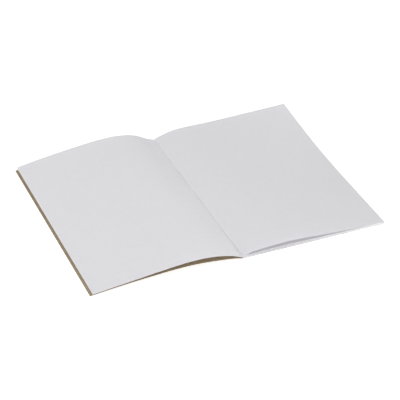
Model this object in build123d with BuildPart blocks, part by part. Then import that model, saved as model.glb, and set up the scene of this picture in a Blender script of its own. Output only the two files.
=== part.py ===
"""A stapled exercise book, lying open at its first spread on a table.

Frame: +X runs from the spine to the right-hand fore-edge, +Y along the spine to the head of
the page, +Z up. The origin is on the table, under the middle of the spine. Millimetres, degrees.

Every sheet is folded once. The strip at its fold stays with the spine, and the two leaves of
the sheet swing from that strip, so that each leaf is a piece of its own.
"""

import os
from math import acos, atan2, cos, degrees, hypot, radians, sin, tan

from build123d import *

# Page and paper
PAGE_WIDTH = 140.0
PAGE_HEIGHT = 210.0
SHEET_COUNT = 8
PAPER = 0.09
KRAFT = 0.25
LAYER_GAP = 0.03

# The open crease, where the right-hand page meets the left-hand one, from the origin
CREASE_X = 0.6

# Fold strips: how far they reach from the origin, and how steeply the layers leave the fold
STRIP_REACH = 9.0
HINGE_GAP = 0.2
COVER_RISE = 13.0
LEAF_1_RISE = 23.7
LEAF_2_RISE = 18.0
LEAF_3_RISE = 1.5
CENTRE_RISE = 0.5

# Staples: round wire, pushed through the fold from outside and clinched in the centre spread
WIRE = 0.5
WIRE_CLEARANCE = 0.06
WIRE_BEND = 0.4
CROWN_LENGTH = 12.0
TIP_GAP = 2.4
STAPLE_SPACING = 105.0
STAPLE_DIRECTION = 210.0

# Stations across a leaf, as shares of the page width, where its arch is given
STATIONS = (1 / 7, 9 / 28, 4 / 7, 11 / 14)

# Height of each arch at the stations, above the straight line from strip to fore-edge
COVER_ARCH = (1.65, 4.3, 4.05, 2.5)
LEAF_1_ARCH_FOOT = (3.2, 6.2, 4.6, 2.3)
LEAF_1_ARCH_HEAD = (5.8, 10.1, 7.9, 4.5)
LEAF_2_ARCH_FOOT = (1.1, 2.55, 1.3, 0.25)
LEAF_2_ARCH_HEAD = (2.0, 1.6, 0.65, 0.2)
STACK_ARCH = (0.55, 0.8, 0.35, 0.1)

# Fore-edges: how far an arch draws each one in from the full width, and how high it lies
COVER_DRAW_IN = 0.1
LEAF_1_DRAW_IN_FOOT = 2.6
LEAF_1_DRAW_IN_HEAD = 1.8
STACK_DRAW_IN = 0.6
LEAF_1_EDGE_FOOT = 1.2
LEAF_1_EDGE_HEAD = 3.2

# The head corner of the right-hand page curls up, and each leaf below follows it less
CURL = 9.0
CURL_START = 0.35
CURL_PASSED_DOWN = 0.5

# Sections along the spine, as shares of the page height from foot to head
SECTIONS = (0.0, 0.4, 0.6, 0.8, 1.0)

# Angles round the fold are counted from +X: its lowest point, and the first leaf's sharp crease
DOWN = 270.0
HALF_TURN = 180.0
LEAF_1_CREASE = 195.0

# The right-hand page that lies open, which is the second leaf of the book
OPEN_LEAF = 2

# Worked-out sizes
LEAF_COUNT = 2 * SHEET_COUNT
PITCH = PAPER + LAYER_GAP
INNER_RADIUS = WIRE / 2 + WIRE_CLEARANCE + PAPER / 2
OUTER_RADIUS = INNER_RADIUS + (SHEET_COUNT - 1) * PITCH
OPEN_RADIUS = OUTER_RADIUS - (OPEN_LEAF - 1) * PITCH
COVER_RADIUS = OUTER_RADIUS + PAPER / 2 + LAYER_GAP + KRAFT / 2
CROWN_TILT = radians(DOWN - COVER_RISE - STAPLE_DIRECTION)
CROWN_REACH = (COVER_RADIUS + KRAFT / 2 + LAYER_GAP + WIRE / 2) / cos(CROWN_TILT)
DIRECTION_X = cos(radians(STAPLE_DIRECTION))
DIRECTION_Z = sin(radians(STAPLE_DIRECTION))
FOLD_X = CREASE_X + OPEN_RADIUS + PAPER / 2
FOLD_Z = max(WIRE / 2 - CROWN_REACH * DIRECTION_Z, COVER_RADIUS + KRAFT / 2)
LEAF_1_CREASE_X = FOLD_X + OUTER_RADIUS * cos(radians(LEAF_1_CREASE))
LEAF_1_CREASE_Z = FOLD_Z + OUTER_RADIUS * sin(radians(LEAF_1_CREASE))

# The spine stands on the staples, so the lower layers fall a little from it to the flat stack
FALL_WIDTH = STRIP_REACH - FOLD_X
FALL_HEIGHT = FOLD_Z - KRAFT / 2
FALL = degrees(acos(COVER_RADIUS / hypot(FALL_WIDTH, FALL_HEIGHT)) - atan2(FALL_WIDTH, FALL_HEIGHT))

os.makedirs("parts", exist_ok=True)


def fold_radius(sheet):
    """Radius of a sheet's fold, on the middle of the paper: sheet 1 is the outermost."""
    return INNER_RADIUS + (SHEET_COUNT - sheet) * PITCH


def leaf_rise(leaf):
    """Slope at which a leaf of the right-hand page's upper half leaves its fold."""
    if leaf == OPEN_LEAF:
        return LEAF_2_RISE
    below = OPEN_LEAF + 1
    share = (leaf - below) / max(SHEET_COUNT - below, 1)
    return LEAF_3_RISE + (CENTRE_RISE - LEAF_3_RISE) * share


def end_above(radius, rise, reach):
    """Height of an upper layer, at a reach to the right of the origin."""
    return FOLD_Z + radius / cos(radians(rise)) + (reach - FOLD_X) * tan(radians(rise))


def end_below(radius, reach):
    """Height of a lower layer, at a reach to the right of the origin."""
    return FOLD_Z - radius / cos(radians(FALL)) - (reach - FOLD_X) * tan(radians(FALL))


def cover_end(reach):
    """Height of the front cover, which leaves the fold without a kink, at a reach to the left."""
    return FOLD_Z - COVER_RADIUS / cos(radians(COVER_RISE)) + (reach + FOLD_X) * tan(radians(COVER_RISE))


def leaf_1_end(reach):
    """Height of the first leaf, which leaves the fold at its crease, at a reach to the left."""
    return LEAF_1_CREASE_Z + (reach + LEAF_1_CREASE_X) * tan(radians(LEAF_1_RISE))


def stack_height(leaf):
    """Height of a leaf where the right-hand stack lies flat, on the middle of the paper."""
    return KRAFT + LAYER_GAP + PAPER / 2 + (LEAF_COUNT - leaf) * PITCH


def cut_staple_holes():
    """Holes for the staple legs, from inside the fold outwards, in the part being built."""
    legs = [
        (place + end, 0)
        for place in (-STAPLE_SPACING / 2, STAPLE_SPACING / 2)
        for end in (-CROWN_LENGTH / 2, CROWN_LENGTH / 2)
    ]
    across = Plane(
        origin=(FOLD_X, 0, FOLD_Z), x_dir=(0, 1, 0), z_dir=(DIRECTION_X, 0, DIRECTION_Z)
    )
    with BuildSketch(across) as holes:
        with Locations(*legs):
            Circle(WIRE / 2 + WIRE_CLEARANCE)
    extrude(holes.sketch, amount=CROWN_REACH, mode=Mode.SUBTRACT)


def arch_points(side, root_z, reach, edge_z, arch):
    """Points of a leaf's middle line, from its strip to its fore-edge, as (x, z)."""
    root = STRIP_REACH + HINGE_GAP
    points = [(side * root, root_z)]
    for station, height in zip(STATIONS, arch):
        x = station * PAGE_WIDTH
        line_z = root_z + (edge_z - root_z) * (x - root) / (reach - root)
        points.append((side * x, line_z + height))
    points.append((side * reach, edge_z))
    return points


def curved_leaf(side, root_z, thickness, sections):
    """A thin leaf through sections along the spine, each (y, reach, edge_z, arch)."""
    with BuildPart() as leaf:
        for y, reach, edge_z, arch in sections:
            points = arch_points(side, root_z, reach, edge_z, arch)
            with BuildSketch(Plane.XZ.offset(-y)):
                with BuildLine():
                    under = Spline(*[(x, z - thickness / 2) for x, z in points])
                    over = Spline(*[(x, z + thickness / 2) for x, z in points])
                    Line(under @ 0, over @ 0)
                    Line(under @ 1, over @ 1)
                make_face()
        loft(ruled=True)
    return leaf


def between(foot, head, share):
    """Heights at a share of the way from those at the foot to those at the head."""
    return tuple(a + (b - a) * share for a, b in zip(foot, head))


def curl_share(share):
    """How much of the corner's curl shows at a share of the page height."""
    return (max(share - CURL_START, 0) / (1 - CURL_START)) ** 2


# Back cover and spine: one kraft strip that lies flat on the right and turns up at the fold
with BuildPart() as back_cover:
    with BuildSketch(Plane.XZ):
        with BuildLine():
            wrap = CenterArc((FOLD_X, FOLD_Z), COVER_RADIUS, DOWN - FALL, FALL - COVER_RISE)
            Line(wrap @ 1, (-STRIP_REACH, cover_end(STRIP_REACH)))
            Line(wrap @ 0, (STRIP_REACH, KRAFT / 2))
            Line((STRIP_REACH, KRAFT / 2), (PAGE_WIDTH - STACK_DRAW_IN, KRAFT / 2))
        trace(line_width=KRAFT)
    extrude(amount=PAGE_HEIGHT / 2, both=True)
    cut_staple_holes()
back_cover.part.label = "back_cover"
export_step(back_cover.part, "parts/back_cover.step")

# Front cover: the other half of the kraft cover, opened to the left and bowed up from the table
cover_reach = PAGE_WIDTH - COVER_DRAW_IN
front_cover = curved_leaf(
    -1,
    cover_end(STRIP_REACH + HINGE_GAP),
    KRAFT,
    [(y, cover_reach, KRAFT / 2, COVER_ARCH) for y in (-PAGE_HEIGHT / 2, PAGE_HEIGHT / 2)],
)
front_cover.part.label = "front_cover"
export_step(front_cover.part, "parts/front_cover.step")

# Fold strip of the outermost sheet: from under the stack up to the first leaf on the left
with BuildPart() as outer_fold:
    with BuildSketch(Plane.XZ):
        with BuildLine():
            turn = CenterArc((FOLD_X, FOLD_Z), OUTER_RADIUS, DOWN - FALL, LEAF_1_CREASE - DOWN + FALL)
            Line(turn @ 1, (-STRIP_REACH, leaf_1_end(STRIP_REACH)))
            Line(turn @ 0, (STRIP_REACH, end_below(OUTER_RADIUS, STRIP_REACH)))
        trace(line_width=PAPER)
    extrude(amount=PAGE_HEIGHT / 2, both=True)
    cut_staple_holes()
outer_fold.part.label = "sheet_1_fold"
export_step(outer_fold.part, "parts/sheet_1_fold.step")

# Fold strips of the other sheets: hairpins, one inside the other, open to the right
for sheet in range(OPEN_LEAF, SHEET_COUNT + 1):
    radius = fold_radius(sheet)
    rise = leaf_rise(sheet)
    with BuildPart() as fold:
        with BuildSketch(Plane.XZ):
            with BuildLine():
                turn = CenterArc((FOLD_X, FOLD_Z), radius, DOWN - FALL, FALL + rise - HALF_TURN)
                Line(turn @ 1, (STRIP_REACH, end_above(radius, rise, STRIP_REACH)))
                Line(turn @ 0, (STRIP_REACH, end_below(radius, STRIP_REACH)))
            trace(line_width=PAPER)
        extrude(amount=PAGE_HEIGHT / 2, both=True)
        cut_staple_holes()
    fold.part.label = f"sheet_{sheet}_fold"
    export_step(fold.part, f"parts/sheet_{sheet}_fold.step")

# First leaf, on the left: it arches over the cover, higher at the head than at the foot
leaf_1_sections = []
for share in SECTIONS:
    draw_in, edge_z = between(
        (LEAF_1_DRAW_IN_FOOT, LEAF_1_EDGE_FOOT), (LEAF_1_DRAW_IN_HEAD, LEAF_1_EDGE_HEAD), share
    )
    leaf_1_sections.append(
        (
            share * PAGE_HEIGHT - PAGE_HEIGHT / 2,
            PAGE_WIDTH - draw_in,
            edge_z,
            between(LEAF_1_ARCH_FOOT, LEAF_1_ARCH_HEAD, share),
        )
    )
first_leaf = curved_leaf(-1, leaf_1_end(STRIP_REACH + HINGE_GAP), PAPER, leaf_1_sections)
first_leaf.part.label = "leaf_01"
export_step(first_leaf.part, "parts/leaf_01.step")

# Leaves on the right, from the open page down to the back cover
for number in range(OPEN_LEAF, LEAF_COUNT + 1):
    root_reach = STRIP_REACH + HINGE_GAP
    if number <= SHEET_COUNT:
        root_z = end_above(fold_radius(number), leaf_rise(number), root_reach)
    else:
        root_z = end_below(fold_radius(LEAF_COUNT + 1 - number), root_reach)
    spring = (LEAF_COUNT - number) / (LEAF_COUNT - OPEN_LEAF)
    arch_foot = tuple(spring * height for height in STACK_ARCH)
    arch_head = arch_foot
    if number == OPEN_LEAF:
        arch_foot = LEAF_2_ARCH_FOOT
        arch_head = LEAF_2_ARCH_HEAD
    curl = CURL * CURL_PASSED_DOWN ** (number - OPEN_LEAF)
    edge_z = stack_height(number)
    page_sections = [
        (
            share * PAGE_HEIGHT - PAGE_HEIGHT / 2,
            PAGE_WIDTH - STACK_DRAW_IN,
            edge_z + curl * curl_share(share),
            between(arch_foot, arch_head, share),
        )
        for share in SECTIONS
    ]
    page = curved_leaf(1, root_z, PAPER, page_sections)
    page.part.label = f"leaf_{number:02d}"
    export_step(page.part, f"parts/leaf_{number:02d}.step")

# Staples: crown outside the cover, legs through the fold, tips turned in along the centre fold
for name, place in (("foot", -STAPLE_SPACING / 2), ("head", STAPLE_SPACING / 2)):
    corners = [
        (-TIP_GAP / 2, 0),
        (-CROWN_LENGTH / 2, 0),
        (-CROWN_LENGTH / 2, CROWN_REACH),
        (CROWN_LENGTH / 2, CROWN_REACH),
        (CROWN_LENGTH / 2, 0),
        (TIP_GAP / 2, 0),
    ]
    with BuildPart() as staple:
        with BuildLine() as wire:
            FilletPolyline(
                *[
                    (FOLD_X + s * DIRECTION_X, place + y, FOLD_Z + s * DIRECTION_Z)
                    for y, s in corners
                ],
                radius=WIRE_BEND,
            )
        with BuildSketch(Plane(origin=wire.line @ 0, z_dir=wire.line % 0)):
            Circle(WIRE / 2)
        sweep(path=wire.line)
    staple.part.label = f"staple_{name}"
    export_step(staple.part, f"parts/staple_{name}.step")
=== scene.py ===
# %% [markdown]
# # A stapled exercise book, open at its first spread
#
# The book is a brown kraft cover and eight white sheets, folded once together and held by two
# wire staples in the fold. It lies open at the first leaf, so the left-hand page rests over the
# inside of the cover and the right-hand page lies on all the others.
#
# The CAD frame holds every piece at its real size and place. This script dresses that frame: it
# reads the curve of each leaf from its CAD node, draws a finer sheet of paper along it, and gives
# every piece its finish. Everything is in metres.

# %% Load the CAD frame
import math

import bmesh
import bpy
import numpy as np
from mathutils import Matrix, Vector


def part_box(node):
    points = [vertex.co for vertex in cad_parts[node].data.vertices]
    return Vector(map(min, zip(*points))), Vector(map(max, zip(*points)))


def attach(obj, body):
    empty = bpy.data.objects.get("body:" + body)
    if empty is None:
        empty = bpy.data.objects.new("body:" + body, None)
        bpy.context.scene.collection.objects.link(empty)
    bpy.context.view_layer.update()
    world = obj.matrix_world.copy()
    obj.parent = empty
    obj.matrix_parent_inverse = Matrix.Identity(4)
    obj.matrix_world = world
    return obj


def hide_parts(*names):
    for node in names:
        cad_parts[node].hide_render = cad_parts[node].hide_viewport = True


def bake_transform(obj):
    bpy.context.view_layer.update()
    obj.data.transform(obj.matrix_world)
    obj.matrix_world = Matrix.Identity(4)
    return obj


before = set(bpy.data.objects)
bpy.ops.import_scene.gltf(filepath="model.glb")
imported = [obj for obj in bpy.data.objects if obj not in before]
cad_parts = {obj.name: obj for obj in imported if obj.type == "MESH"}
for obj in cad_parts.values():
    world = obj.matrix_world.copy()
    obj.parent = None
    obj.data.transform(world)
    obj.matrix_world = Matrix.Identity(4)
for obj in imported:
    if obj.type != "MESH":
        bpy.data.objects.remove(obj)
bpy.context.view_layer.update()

MM = 0.001


# %% [markdown]
# ## The camera
#
# A photograph fixes where its camera stood. Six corners of the pages, whose real places are known,
# give the direction, the distance and the lens. A long lens from over a metre away keeps the page
# edges nearly parallel, as a catalogue picture does. A Track To constraint could aim the camera,
# but the matrix is written out here, so that the small roll of the picture can be kept.

# %% Place the camera
AZIMUTH = math.radians(-23.10)
ELEVATION = math.radians(33.86)
ROLL = math.radians(0.35)
CAMERA_PLACE = Vector((-460.8, -1090.7, 790.7)) * MM
PICTURE_WIDTH = 400
FOCAL_PIXELS = 1551.5

back = Vector(
    (
        math.sin(AZIMUTH) * math.cos(ELEVATION),
        -math.cos(AZIMUTH) * math.cos(ELEVATION),
        math.sin(ELEVATION),
    )
)
level_right = Vector((math.cos(AZIMUTH), math.sin(AZIMUTH), 0))
level_up = back.cross(level_right)
right = math.cos(ROLL) * level_right + math.sin(ROLL) * level_up
up = back.cross(right)
aim = Matrix((right, up, back)).transposed()

camera_data = bpy.data.cameras.new("camera")
camera_data.lens = camera_data.sensor_width * FOCAL_PIXELS / PICTURE_WIDTH
camera = bpy.data.objects.new("camera", camera_data)
bpy.context.scene.collection.objects.link(camera)
camera.matrix_world = Matrix.Translation(CAMERA_PLACE) @ aim.to_4x4()
bpy.context.scene.camera = camera
bpy.context.scene.view_settings.view_transform = "Standard"
print("lens in mm:", round(camera_data.lens, 1))

# %% [markdown]
# ## Light
#
# The light is soft, as in a catalogue picture. A dim, even white sky reaches the book from all
# sides. A large lamp high on the left makes the left-hand page a little brighter than the
# right-hand one. A second lamp, low in front and a little to the right, lights the cut edges of
# the paper. One sun lamp would be simpler, but its shadows are hard, and the picture has none.
#
# The level is plain. A white page that lies flat shows a little darker than its written colour,
# so its soft shades don't clip to white.

# %% Light the sky
SKY = 0.37
WHITE = (1, 1, 1, 1)


def seen_directly(nodes, links):
    """One for rays that look at the surface from the camera, or through a mirror or glass."""
    path = nodes.new("ShaderNodeLightPath")
    total = path.outputs["Is Camera Ray"]
    for name in ("Is Glossy Ray", "Is Transmission Ray"):
        either = nodes.new("ShaderNodeMath")
        either.operation = "MAXIMUM"
        links.new(total, either.inputs[0])
        links.new(path.outputs[name], either.inputs[1])
        total = either.outputs[0]
    return total


world = bpy.data.worlds.new("even_sky")
world.use_nodes = True
bpy.context.scene.world = world
nodes, links = world.node_tree.nodes, world.node_tree.links
sky = nodes["Background"]
sky.inputs["Strength"].default_value = SKY
sky.inputs["Color"].default_value = WHITE
white = nodes.new("ShaderNodeBackground")
white.inputs["Color"].default_value = WHITE
choose = nodes.new("ShaderNodeMixShader")
links.new(seen_directly(nodes, links), choose.inputs[0])
links.new(sky.outputs[0], choose.inputs[1])
links.new(white.outputs[0], choose.inputs[2])
links.new(choose.outputs[0], nodes["World Output"].inputs["Surface"])
print("sky strength:", SKY)

# %% Hang the lamps
KEY_POWER = 3.7
KEY_PLACE = Vector((-0.5, 0.1, 0.8))
FILL_POWER = 15.4
FILL_PLACE = Vector((0.3, -1.3, 0.3))
LAMP_SIZE = 0.8


def hang_lamp(name, place, power):
    """A large square lamp that faces the book."""
    lamp_data = bpy.data.lights.new(name, "AREA")
    lamp_data.energy = power
    lamp_data.size = LAMP_SIZE
    lamp = bpy.data.objects.new(name, lamp_data)
    lamp.location = place
    lamp.rotation_euler = (-place).to_track_quat("-Z", "Y").to_euler()
    bpy.context.scene.collection.objects.link(lamp)


hang_lamp("key_lamp", KEY_PLACE, KEY_POWER)
hang_lamp("front_fill", FILL_PLACE, FILL_POWER)
print("lamps in watts:", KEY_POWER, FILL_POWER)

# %% [markdown]
# ## The floor
#
# The book lies on a white studio sweep. The floor has to be pure white in the picture and still
# catch the shadow at the foot of the book. Lighting it harder would also light the book, so the
# floor glows a little, but only for rays that come from the camera, a mirror or glass.
#
# It lies a hair below the book, because two faces at exactly one height render in patches.

# %% Lay the floor
FLOOR_SIZE = 8.0
FLOOR_DROP = 0.05 * MM

half = FLOOR_SIZE / 2
corners = [(-half, -half, 0), (half, -half, 0), (half, half, 0), (-half, half, 0)]
floor_mesh = bpy.data.meshes.new("floor")
floor_mesh.from_pydata(corners, [], [(0, 1, 2, 3)])
floor = bpy.data.objects.new("floor", floor_mesh)
floor.location.z = -FLOOR_DROP
bpy.context.scene.collection.objects.link(floor)
print("floor side in metres:", FLOOR_SIZE)

# %% Paint the floor
FLOOR_WHITE = (0.92, 0.92, 0.92, 1)
FLOOR_GLOW = 0.66

floor_paint = bpy.data.materials.new("white_sweep")
floor_paint.use_nodes = True
nodes, links = floor_paint.node_tree.nodes, floor_paint.node_tree.links
matt = nodes["Principled BSDF"]
matt.inputs["Base Color"].default_value = FLOOR_WHITE
matt.inputs["Roughness"].default_value = 1
matt.inputs["Specular IOR Level"].default_value = 0
glow = nodes.new("ShaderNodeEmission")
glow.inputs["Strength"].default_value = FLOOR_GLOW
lit = nodes.new("ShaderNodeAddShader")
choose = nodes.new("ShaderNodeMixShader")
links.new(matt.outputs[0], lit.inputs[0])
links.new(glow.outputs[0], lit.inputs[1])
links.new(seen_directly(nodes, links), choose.inputs[0])
links.new(matt.outputs[0], choose.inputs[1])
links.new(lit.outputs[0], choose.inputs[2])
links.new(choose.outputs[0], nodes["Material Output"].inputs["Surface"])
floor_mesh.materials.append(floor_paint)
print("floor paint:", len(nodes), "nodes")

# %% [markdown]
# ## Finishes
#
# Paper and card are felted fibres, so both get the same three layers of noise at three scales.
# Slow clouds are the uneven thickness that shows against the light. Thin streaks, stretched along
# several directions, are the fibres. Fine grain is the surface that the pencil feels. An image
# texture of paper would repeat and needs a file, and the noise nodes work at any size.
#
# Object coordinates are in metres here, so each scale is written as the number of features in a
# metre.

# %% Start a finish and its noise
ALONG_X = 0


def new_finish(name, shine):
    """A material, its Principled surface, and the place of each point on the piece."""
    finish = bpy.data.materials.new(name)
    finish.use_nodes = True
    surface = finish.node_tree.nodes["Principled BSDF"]
    surface.inputs["Specular IOR Level"].default_value = shine
    place = finish.node_tree.nodes.new("ShaderNodeTexCoord").outputs["Object"]
    return finish, surface, place


def noise(finish, place, scale, detail, stretch=None, turn=ALONG_X):
    """Noise with so many features in a metre, stretched into streaks along a turned direction."""
    nodes, links = finish.node_tree.nodes, finish.node_tree.links
    texture = nodes.new("ShaderNodeTexNoise")
    texture.inputs["Scale"].default_value = scale
    texture.inputs["Detail"].default_value = detail
    if stretch:
        mapping = nodes.new("ShaderNodeMapping")
        mapping.vector_type = "TEXTURE"
        mapping.inputs["Rotation"].default_value = (0, 0, math.radians(turn))
        mapping.inputs["Scale"].default_value = (stretch, 1, 1)
        links.new(place, mapping.inputs["Vector"])
        place = mapping.outputs["Vector"]
    links.new(place, texture.inputs["Vector"])
    return texture.outputs["Fac"]


print("noise ready, in features per metre")

# %% Turn noise into colour and relief
NONE_TO_ALL = (0, 1)


def ramp(finish, value, span, result=NONE_TO_ALL):
    """Spreads the values inside a span over the result's range, and clips the rest."""
    node = finish.node_tree.nodes.new("ShaderNodeMapRange")
    names = ("From Min", "From Max", "To Min", "To Max")
    for name, number in zip(names, (*span, *result)):
        node.inputs[name].default_value = number
    finish.node_tree.links.new(value, node.inputs["Value"])
    return node.outputs["Result"]


def tint(finish, base, value, colour):
    """Mixes a colour into the base, a colour or a socket, by a value from none to all."""
    node = finish.node_tree.nodes.new("ShaderNodeMix")
    node.data_type = "RGBA"
    links = finish.node_tree.links
    links.new(value, node.inputs["Factor"])
    if isinstance(base, tuple):
        node.inputs["A"].default_value = (*base, 1)
    else:
        links.new(base, node.inputs["A"])
    node.inputs["B"].default_value = (*colour, 1)
    return node.outputs["Result"]


def relief(finish, surface, heights):
    """Bump from several height sockets, each with its depth in metres."""
    nodes, links = finish.node_tree.nodes, finish.node_tree.links
    normal = None
    for height, depth in heights:
        bump = nodes.new("ShaderNodeBump")
        bump.inputs["Distance"].default_value = depth
        links.new(height, bump.inputs["Height"])
        if normal:
            links.new(normal, bump.inputs["Normal"])
        normal = bump.outputs["Normal"]
    links.new(normal, surface.inputs["Normal"])


print("ramp, tint and relief ready")

# %% [markdown]
# ### Page paper
#
# Uncoated writing paper is a cool white with very little contrast: the clouds and fibres only
# just show. It has no polish, so the surface is rough and its shine is low.
#
# A plain white surface would look like plaster. Paper is thin, and light goes a little way into
# it before it comes out again. Subsurface scattering, about as deep as the sheet is thick, does
# that, and softens the creases and the cut edges.

# %% Make the page paper
PAGE_WHITE = (0.822, 0.814, 0.847)
PAGE_CLOUD = (0.799, 0.792, 0.822)
PAGE_FIBRE = (0.857, 0.849, 0.876)
PAGE_SHINE = 0.25
LIGHT_DEPTH = 0.1 * MM
PAGE_CLOUDS = {"scale": 260, "detail": 3}
PAGE_GRAIN = {"scale": 5200, "detail": 2}
PAGE_STREAKS = {"scale": 2600, "detail": 1, "stretch": 7}
PAGE_STREAK_TURNS = (8, 68, 131)
PAGE_CLOUD_SPAN = (0.42, 0.68)
PAGE_CLOUD_TINT = (0, 0.55)
PAGE_FIBRE_SPAN = (0.60, 0.74)
PAGE_FIBRE_TINT = (0, 0.3)
GRAIN_SPAN = (0.3, 0.7)
PAGE_ROUGHNESS = (0.84, 0.95)
PAGE_GRAIN_DEPTH = 0.01 * MM
PAGE_FIBRE_DEPTH = 0.008 * MM


def make_page_paper():
    paper, surface, place = new_finish("page_paper", PAGE_SHINE)
    links = paper.node_tree.links
    surface.inputs["Subsurface Weight"].default_value = 1
    surface.inputs["Subsurface Radius"].default_value = (1, 1, 1)
    surface.inputs["Subsurface Scale"].default_value = LIGHT_DEPTH
    clouds = noise(paper, place, **PAGE_CLOUDS)
    grain = noise(paper, place, **PAGE_GRAIN)
    cloudy = ramp(paper, clouds, PAGE_CLOUD_SPAN, PAGE_CLOUD_TINT)
    colour = tint(paper, PAGE_WHITE, cloudy, PAGE_CLOUD)
    heights = [(grain, PAGE_GRAIN_DEPTH)]
    for turn in PAGE_STREAK_TURNS:
        streaks = noise(paper, place, **PAGE_STREAKS, turn=turn)
        hairy = ramp(paper, streaks, PAGE_FIBRE_SPAN, PAGE_FIBRE_TINT)
        colour = tint(paper, colour, hairy, PAGE_FIBRE)
        heights.append((streaks, PAGE_FIBRE_DEPTH))
    links.new(colour, surface.inputs["Base Color"])
    links.new(ramp(paper, grain, GRAIN_SPAN, PAGE_ROUGHNESS), surface.inputs["Roughness"])
    relief(paper, surface, heights)
    return paper


page_paper = make_page_paper()
print("page paper:", len(page_paper.node_tree.nodes), "nodes")

# %% [markdown]
# ### Kraft card
#
# Kraft is unbleached, so its fibres show: long darker and paler hairs, a few bark specks, and
# cloudy patches where the pulp lay thicker. Mixing a flat brown with strong streaks would look
# like wood, so the streaks run in four directions and each stays faint.

# %% Make the kraft card
KRAFT_BROWN = (0.425, 0.338, 0.220)
KRAFT_CLOUD = (0.370, 0.288, 0.180)
KRAFT_PALE = (0.535, 0.446, 0.315)
KRAFT_DARK = (0.225, 0.165, 0.096)
KRAFT_SPECK = (0.115, 0.072, 0.034)
KRAFT_SHINE = 0.3
KRAFT_CLOUDS = {"scale": 140, "detail": 4}
KRAFT_GRAIN = {"scale": 3800, "detail": 2}
KRAFT_SPECKS = {"scale": 900, "detail": 0}
KRAFT_STREAKS = {"scale": 1500, "detail": 1, "stretch": 9}
KRAFT_HAIRS = ((12, KRAFT_PALE), (57, KRAFT_DARK), (101, KRAFT_PALE), (148, KRAFT_DARK))
KRAFT_CLOUD_SPAN = (0.40, 0.70)
KRAFT_CLOUD_TINT = (0, 0.8)
KRAFT_HAIR_SPAN = (0.56, 0.76)
KRAFT_HAIR_TINT = (0, 0.55)
KRAFT_SPECK_SPAN = (0.74, 0.80)
KRAFT_SPECK_TINT = (0, 0.7)
KRAFT_ROUGHNESS = (0.70, 0.90)
KRAFT_GRAIN_DEPTH = 0.03 * MM
KRAFT_HAIR_DEPTH = 0.018 * MM


def make_kraft_card():
    kraft, surface, place = new_finish("kraft_card", KRAFT_SHINE)
    links = kraft.node_tree.links
    clouds = noise(kraft, place, **KRAFT_CLOUDS)
    grain = noise(kraft, place, **KRAFT_GRAIN)
    specks = noise(kraft, place, **KRAFT_SPECKS)
    cloudy = ramp(kraft, clouds, KRAFT_CLOUD_SPAN, KRAFT_CLOUD_TINT)
    colour = tint(kraft, KRAFT_BROWN, cloudy, KRAFT_CLOUD)
    heights = [(grain, KRAFT_GRAIN_DEPTH)]
    for turn, hair in KRAFT_HAIRS:
        streaks = noise(kraft, place, **KRAFT_STREAKS, turn=turn)
        hairy = ramp(kraft, streaks, KRAFT_HAIR_SPAN, KRAFT_HAIR_TINT)
        colour = tint(kraft, colour, hairy, hair)
        heights.append((streaks, KRAFT_HAIR_DEPTH))
    specked = ramp(kraft, specks, KRAFT_SPECK_SPAN, KRAFT_SPECK_TINT)
    colour = tint(kraft, colour, specked, KRAFT_SPECK)
    links.new(colour, surface.inputs["Base Color"])
    links.new(ramp(kraft, grain, GRAIN_SPAN, KRAFT_ROUGHNESS), surface.inputs["Roughness"])
    relief(kraft, surface, heights)
    return kraft


kraft_card = make_kraft_card()
print("kraft card:", len(kraft_card.node_tree.nodes), "nodes")

# %% [markdown]
# ### Staple wire
#
# Staples are drawn galvanised wire: bright metal with fine lines along the wire from the die, and
# a dull bloom of zinc in patches. A plain grey metal would pass from afar. Up close, the bloom is
# both greyer and duller than the bright wire, so one noise drives the colour and the roughness.

# %% Make the staple wire
ZINC = (0.62, 0.62, 0.61)
ZINC_BLOOM = (0.47, 0.48, 0.49)
WIRE_SHINE = 0.5
WIRE_BLOOM = {"scale": 1800, "detail": 3}
WIRE_LINES = {"scale": 9000, "detail": 1, "stretch": 14, "turn": 90}
BLOOM_TINT_SPAN = (0.4, 0.7)
BLOOM_DULL_SPAN = (0.35, 0.7)
WIRE_ROUGHNESS = (0.25, 0.5)
WIRE_LINE_DEPTH = 0.01 * MM


def make_staple_wire():
    wire, surface, place = new_finish("staple_wire", WIRE_SHINE)
    links = wire.node_tree.links
    surface.inputs["Metallic"].default_value = 1
    bloom = noise(wire, place, **WIRE_BLOOM)
    lines = noise(wire, place, **WIRE_LINES)
    colour = tint(wire, ZINC, ramp(wire, bloom, BLOOM_TINT_SPAN), ZINC_BLOOM)
    links.new(colour, surface.inputs["Base Color"])
    links.new(ramp(wire, bloom, BLOOM_DULL_SPAN, WIRE_ROUGHNESS), surface.inputs["Roughness"])
    relief(wire, surface, [(lines, WIRE_LINE_DEPTH)])
    return wire


staple_wire = make_staple_wire()
print("staple wire:", len(staple_wire.node_tree.nodes), "nodes")

# %% [markdown]
# ## Reading the fold from the CAD frame
#
# Every sheet goes round the same centre line, inside the fold, where the clinched tips of the
# staples lie. The tips' wire is centred on that line, so the top right corner of the staple's box,
# less the wire's radius, gives its place. Each sheet further out goes round it at a larger radius.
# The numbers could be copied from the CAD source, but read from the frame they can't disagree.

# %% Measure the fold
PAPER = 0.09 * MM
CARD = 0.25 * MM
LAYER_GAP = 0.03 * MM
WIRE = 0.5 * MM
SHEET_COUNT = 8
LEAF_COUNT = 2 * SHEET_COUNT

wire_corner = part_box("staple_foot")[1]
FOLD_X = wire_corner.x - WIRE / 2
FOLD_Z = wire_corner.z - WIRE / 2
STRIP_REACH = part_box("sheet_2_fold")[1].x
FOOT_Y, HEAD_Y = (corner.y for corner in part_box("back_cover"))
PAGE_HEIGHT = HEAD_Y - FOOT_Y


def sheet_radius(sheet):
    """Radius of a sheet's fold, on the middle of the paper: sheet 1 is the outermost."""
    if sheet == 1:
        return sheet_radius(2) + PAPER + LAYER_GAP
    return FOLD_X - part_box(f"sheet_{sheet}_fold")[0].x - PAPER / 2


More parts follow.
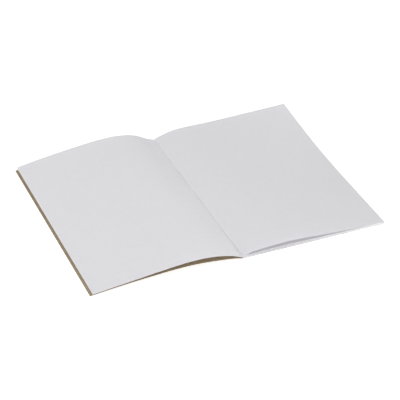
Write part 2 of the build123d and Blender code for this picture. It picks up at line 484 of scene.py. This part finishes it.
COVER_RADIUS = sheet_radius(1) + PAPER / 2 + LAYER_GAP + CARD / 2
print("fold centre in mm:", round(FOLD_X / MM, 3), round(FOLD_Z / MM, 3))
print("fold radii in mm:", [round(sheet_radius(k) / MM, 3) for k in range(1, SHEET_COUNT + 1)])

# %% [markdown]
# ### Where a layer leaves its fold
#
# A layer leaves its round fold along the straight line that touches the fold's circle and points
# at the end of its CAD strip. So the angle at which it leaves follows from that end and the
# radius. Only the first leaf has a kink: it was creased when the book was folded, and turns away
# from the fold at that crease.

# %% Find where a layer leaves
LEFT = -1
RIGHT = 1


def cad_points(node):
    """The corners of a CAD node's mesh, as rows of x, y and z."""
    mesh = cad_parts[node].data
    flat = np.empty(3 * len(mesh.vertices), np.float32)
    mesh.vertices.foreach_get("co", flat)
    return flat.reshape(-1, 3).astype(float)


def strip_end(node, side, above=False):
    """Middle of a fold strip's end, as its x and z."""
    points = cad_points(node)
    ends = points[side * points[:, 0] > STRIP_REACH - CARD]
    if side == RIGHT:
        ends = ends[(ends[:, 2] > FOLD_Z) == above]
    low, high = ends.min(axis=0), ends.max(axis=0)
    return (low[0] + high[0]) / 2, (low[2] + high[2]) / 2


def leaving(end, side, radius, above=False):
    """Angle from level, away from the fold's centre, of the line from the circle to an end."""
    outward = (end[1] - FOLD_Z) * (1 if above else -1)
    across = side * (end[0] - FOLD_X)
    return math.atan2(outward, across) - math.asin(radius / math.hypot(across, outward))


def on_circle(radius, angle):
    """The point of a round fold at an angle from +X, as its x and z."""
    return FOLD_X + radius * math.cos(angle), FOLD_Z + radius * math.sin(angle)


cover_end = strip_end("back_cover", LEFT)
print("cover strip ends in mm:", [round(place / MM, 3) for place in cover_end])

# %% [markdown]
# ## Drawing a sheet of paper
#
# A leaf of paper bends from the spine to its fore-edge, and hardly at all from foot to head. The
# CAD leaf holds that bend at a few sections along the spine. A smooth line runs through the
# points of each section, and a second one runs from section to section.
#
# The line never swings past the points that it goes through. A natural cubic spline would, beside
# the steep rise at the fold. A subdivision surface would also be smooth, but it would shrink away
# from the measured heights.

# %% Draw smooth lines
TOUCH = 0.005 * MM


def even_line(places, values, at):
    """Values at places on a smooth line through known ones, which never swings past them."""
    places, values, at = (np.asarray(part, float) for part in (places, values, at))
    shape = (-1,) + (1,) * (values.ndim - 1)
    gaps = np.diff(places).reshape(shape)
    rises = np.diff(values, axis=0) / gaps
    before, after = rises[:-1], rises[1:]
    same_way = before * after > 0
    inner = np.where(same_way, 2 * before * after / np.where(same_way, before + after, 1), 0)
    slopes = np.concatenate([rises[:1], inner, rises[-1:]])
    span = np.clip(np.searchsorted(places, at) - 1, 0, len(gaps) - 1)
    width = gaps[span]
    t = (at - places[span]).reshape(shape) / width
    straight = values[span] + t * t * (3 - 2 * t) * (values[span + 1] - values[span])
    return straight + width * t * (1 - t) * ((1 - t) * slopes[span] - t * slopes[span + 1])


def middle_line(node, y):
    """Reach and height along the middle of a CAD leaf at one section, from the spine outwards."""
    points = cad_points(node)
    cut = points[np.abs(points[:, 1] - y) < TOUCH]
    steps = np.round(np.abs(cut[:, 0]) / TOUCH)
    line = []
    for step in np.unique(steps):
        heights = cut[steps == step, 2]
        if np.ptp(heights) > TOUCH:
            line.append((step * TOUCH, (heights.min() + heights.max()) / 2))
    return line


print("CAD points across leaf 2 at its foot:", len(middle_line("leaf_02", FOOT_Y)))

# %% [markdown]
# ### Laying out a leaf
#
# A leaf is a grid of points from its round fold to its fore-edge. An even grid would do for a page
# that lies still. Here the columns are close together beside the fold, because that is where a
# leaf bends when it is turned. CAD points just past the strip are left out, so that the leaf
# leaves the fold in one even sweep.

# %% Lay out a leaf
SECTIONS = (0.0, 0.4, 0.6, 0.8, 1.0)
COLUMNS = 72
ROWS = 50
CROWDING = 1.7
STRIP_CLEAR = 1.3


def leaf_grid(node, side, start, end):
    """Middle of a leaf from its round fold to its fore-edge, as rows and columns of points."""
    share = np.linspace(0, 1, COLUMNS) ** CROWDING
    first = (side * start[0], start[1])
    last = (side * end[0], end[1])
    sections, reaches, heights = [], [], []
    for part in SECTIONS:
        y = FOOT_Y + part * PAGE_HEIGHT
        line = middle_line(node, y)
        if line:
            knots = [first, last] + [point for point in line if point[0] > last[0] * STRIP_CLEAR]
            across = first[0] + (knots[-1][0] - first[0]) * share
            sections.append(y)
            reaches.append(across)
            heights.append(even_line(*zip(*knots), across))
    along = np.linspace(FOOT_Y, HEAD_Y, ROWS)
    x = side * even_line(sections, reaches, along)
    z = even_line(sections, heights, along)
    return np.stack([x, np.broadcast_to(along[:, None], x.shape), z], axis=-1)


print("points on the middle of a leaf:", ROWS * COLUMNS)

# %% [markdown]
# ### From a grid to a thin solid
#
# Paper has a thickness, and the cut edges of the stack show it. A Solidify modifier could thicken
# a single surface. Here the grid is moved half the thickness to either side along its normals,
# and a rim joins the two faces, so that each sheet is closed and exactly as thick as it should be.

# %% Make a thin solid
SHARP_EDGE = math.radians(40)


def sheet_quads(rows, columns):
    """Faces of a closed sheet: a grid of points, the same grid below it, and the rim between."""
    count = rows * columns
    index = np.arange(count).reshape(rows, columns)
    corners = [index[:-1, :-1], index[:-1, 1:], index[1:, 1:], index[1:, :-1]]
    upper = np.stack(corners, axis=-1).reshape(-1, 4)
    lower = upper[:, ::-1] + count
    rim = np.concatenate([index[0, :-1], index[:-1, -1], index[-1, :0:-1], index[:0:-1, 0]])
    following = np.roll(rim, -1)
    sides = np.stack([following, rim, rim + count, following + count], axis=-1)
    return np.concatenate([upper, lower, sides]).tolist()


def thin_solid(name, middle, thickness, finish):
    """A closed sheet of even thickness over a grid of middle points."""
    normal = np.cross(np.gradient(middle, axis=1), np.gradient(middle, axis=0))
    normal /= np.linalg.norm(normal, axis=-1, keepdims=True)
    faces = [middle + normal * thickness / 2, middle - normal * thickness / 2]
    points = np.concatenate([face.reshape(-1, 3) for face in faces])
    mesh = bpy.data.meshes.new(name)
    mesh.from_pydata(points.tolist(), [], sheet_quads(*middle.shape[:2]))
    builder = bmesh.new()
    builder.from_mesh(mesh)
    bmesh.ops.recalc_face_normals(builder, faces=builder.faces)
    builder.to_mesh(mesh)
    builder.free()
    mesh.polygons.foreach_set("use_smooth", [True] * len(mesh.polygons))
    mesh.set_sharp_from_angle(angle=SHARP_EDGE)
    mesh.materials.append(finish)
    piece = bpy.data.objects.new(name, mesh)
    bpy.context.scene.collection.objects.link(piece)
    return piece


print("faces on a leaf:", len(sheet_quads(ROWS, COLUMNS)))

# %% [markdown]
# ### Placing a piece
#
# A leaf doesn't turn on a pin: the paper bends next to the fold. A piece that only rode on the
# turning body would tear away from the fold. Here a piece only gets its placement baked into its
# mesh.


def hang(piece):
    """Bakes a piece's placement into its mesh."""
    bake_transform(piece)


print("a leaf bends up to this far from the spine, in mm:", round(STRIP_REACH / MM, 2))

# %% [markdown]
# ## The leaves and their folds
#
# Each sheet is one piece of paper, but its two leaves turn on their own. So it is drawn as three
# pieces that meet edge to edge: the round fold, which stays with the spine, and two leaves that
# bend beside it. Sheet 1 is opened flat: its first leaf lies on the left, its last at the bottom of
# the right-hand side. The others are still folded on the right.

# %% Draw a round fold
FOLD_STEPS = 24
FOLD_ROWS = 8


def swept(profile, rows):
    """A line of x and z points carried from foot to head, as rows and columns of points."""
    across, heights = np.transpose(profile)
    x, y = np.meshgrid(across, np.linspace(FOOT_Y, HEAD_Y, rows))
    return np.stack([x, y, np.broadcast_to(heights, x.shape)], axis=-1)


def arc(radius, first, last):
    """Points of a round fold between two angles, as x and z."""
    return [on_circle(radius, angle) for angle in np.linspace(first, last, FOLD_STEPS)]


print("points on the middle of a fold:", FOLD_STEPS * FOLD_ROWS)

# %% Draw the sheets
DOWN = math.radians(270)
UP = math.radians(90)
FIRST_CREASE = math.radians(195)

for sheet in range(1, SHEET_COUNT + 1):
    strip = f"sheet_{sheet}_fold"
    radius = sheet_radius(sheet)
    side, above = (LEFT, False) if sheet == 1 else (RIGHT, True)
    first_end = strip_end(strip, side, above)
    last_end = strip_end(strip, RIGHT)
    first_angle = UP + leaving(first_end, side, radius, above) if above else FIRST_CREASE
    last_angle = DOWN - leaving(last_end, RIGHT, radius)
    ring = swept(arc(radius, last_angle, first_angle), FOLD_ROWS)
    fold = thin_solid(f"fold_{sheet}", ring, PAPER, page_paper)
    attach(fold, "spine")
    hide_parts(strip)
    leaves = (
        (sheet, side, first_angle, first_end),
        (LEAF_COUNT + 1 - sheet, RIGHT, last_angle, last_end),
    )
    for number, leaf_side, angle, end in leaves:
        node = f"leaf_{number:02d}"
        grid = leaf_grid(node, leaf_side, on_circle(radius, angle), end)
        page = thin_solid(f"page_{number:02d}", grid, PAPER, page_paper)
        hang(page)
        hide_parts(node)
print("sheets drawn:", SHEET_COUNT)

# %% [markdown]
# ## The kraft cover
#
# One strip of kraft card wraps the sheets. Its back lies flat under the stack, it turns up round
# the spine, and its front is opened to the left, bowed a little by the fold. One bent mesh could
# be the whole cover, but it is drawn as two pieces that meet beside the spine.

# %% Draw the back cover and the spine
FLAT_STEPS = 20

cover_slope = leaving(cover_end, LEFT, COVER_RADIUS)
back_slope = leaving((STRIP_REACH, CARD / 2), RIGHT, COVER_RADIUS)
back_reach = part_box("back_cover")[1].x
flat_part = [(x, CARD / 2) for x in np.linspace(back_reach, STRIP_REACH, FLAT_STEPS)]
spine_part = arc(COVER_RADIUS, DOWN - back_slope, DOWN + cover_slope)
back_card = thin_solid("cover_back", swept(flat_part + spine_part, ROWS), CARD, kraft_card)
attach(back_card, "spine")
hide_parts("back_cover")
print("back cover reaches in mm:", round(back_reach / MM, 1))

# %% Draw the front cover
front_grid = leaf_grid("front_cover", LEFT, spine_part[-1], cover_end)
front_card = thin_solid("cover_front", front_grid, CARD, kraft_card)
hang(front_card)
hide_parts("front_cover")
print("front cover rises in mm:", round(front_grid[..., 2].max() / MM, 1))

# %% [markdown]
# ## The staples
#
# Two wire staples hold the fold. A bevelled curve could draw them again, but the CAD staples are
# already round wire with bent corners, so they stay and only get their finish.

# %% Finish the staples
STAPLES = ("staple_foot", "staple_head")

for name in STAPLES:
    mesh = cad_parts[name].data
    mesh.materials.clear()
    mesh.materials.append(staple_wire)
print("staples finished:", len(STAPLES))
